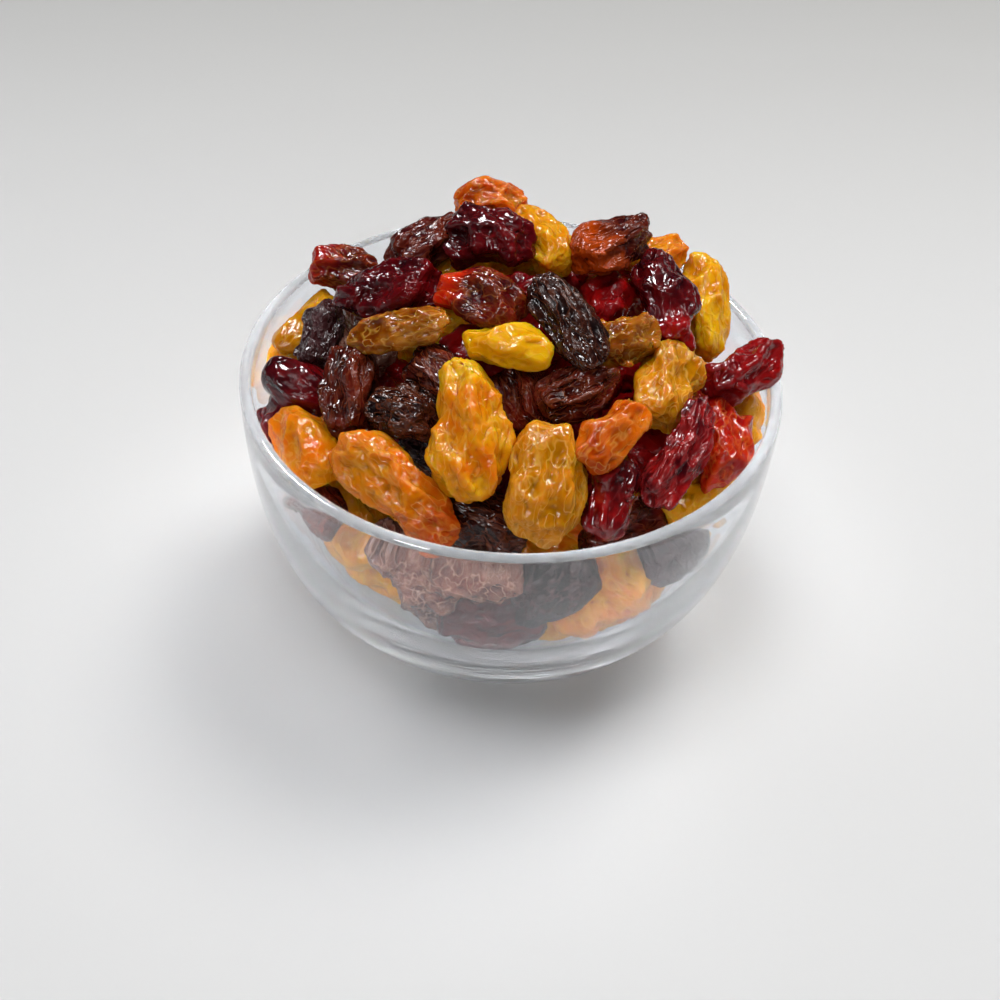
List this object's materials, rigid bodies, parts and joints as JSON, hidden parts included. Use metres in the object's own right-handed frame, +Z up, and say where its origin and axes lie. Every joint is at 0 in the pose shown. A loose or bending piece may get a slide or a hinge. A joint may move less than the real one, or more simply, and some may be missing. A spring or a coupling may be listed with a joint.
{
  "type": "bowl of mixed raisins",
  "caption": "Small round clear glass bowl heaped with large mixed raisins, golden, amber, red, brown and black.",
  "frame": {"origin": "middle of the bowl's flat foot, on the surface it stands on", "axes": "+Z up out of the bowl, +Y towards the far side of the heap, +X to the right"},
  "size_m": [0.08, 0.08, 0.0614],
  "materials": {
    "glass": "clear, polished",
    "golden": "sticky satin, finely wrinkled",
    "amber": "sticky satin, finely wrinkled",
    "ruby": "sticky gloss, folded",
    "crimson": "sticky gloss with a pale bloom, folded",
    "brown": "dull with paler ridges, deeply wrinkled",
    "black": "dull with grey glints, deeply wrinkled"
  },
  "bodies": {
    "root": {"amber_clump_1": "amber", "amber_clump_2": "amber", "amber_raisin_1": "amber", "amber_raisin_2": "amber", "amber_raisin_3": "amber", "amber_raisin_4": "amber", "amber_raisin_5": "amber", "amber_raisin_6": "amber", "amber_raisin_7": "amber", "amber_raisin_8": "amber", "black_clump_1": "black", "black_clump_2": "black", "black_raisin_1": "black", "black_raisin_2": "black", "black_raisin_3": "black", "black_raisin_4": "black", "brown_clump_1": "brown", "brown_clump_2": "brown", "brown_clump_3": "brown", "brown_clump_4": "brown", "brown_raisin_1": "brown", "brown_raisin_10": "brown", "brown_raisin_11": "brown", "brown_raisin_2": "brown", "brown_raisin_3": "brown", "brown_raisin_4": "brown", "brown_raisin_5": "brown", "brown_raisin_6": "brown", "brown_raisin_7": "brown", "brown_raisin_8": "brown", "brown_raisin_9": "brown", "crimson_clump_1": "crimson", "crimson_clump_2": "crimson", "crimson_clump_3": "crimson", "crimson_clump_4": "crimson", "crimson_raisin_1": "crimson", "crimson_raisin_2": "crimson", "crimson_raisin_3": "crimson", "crimson_raisin_4": "crimson", "crimson_raisin_5": "crimson", "crimson_raisin_6": "crimson", "crimson_raisin_7": "crimson", "crimson_raisin_8": "crimson", "crimson_raisin_9": "crimson", "glass_bowl": "glass", "golden_clump_1": "golden", "golden_clump_2": "golden", "golden_clump_3": "golden", "golden_clump_4": "golden", "golden_clump_5": "golden", "golden_raisin_1": "golden", "golden_raisin_2": "golden", "golden_raisin_3": "golden", "golden_raisin_4": "golden", "golden_raisin_5": "golden", "golden_raisin_6": "golden", "ruby_clump_1": "ruby", "ruby_raisin_1": "ruby", "ruby_raisin_2": "ruby", "ruby_raisin_3": "ruby"}
  },
  "joints": []
}
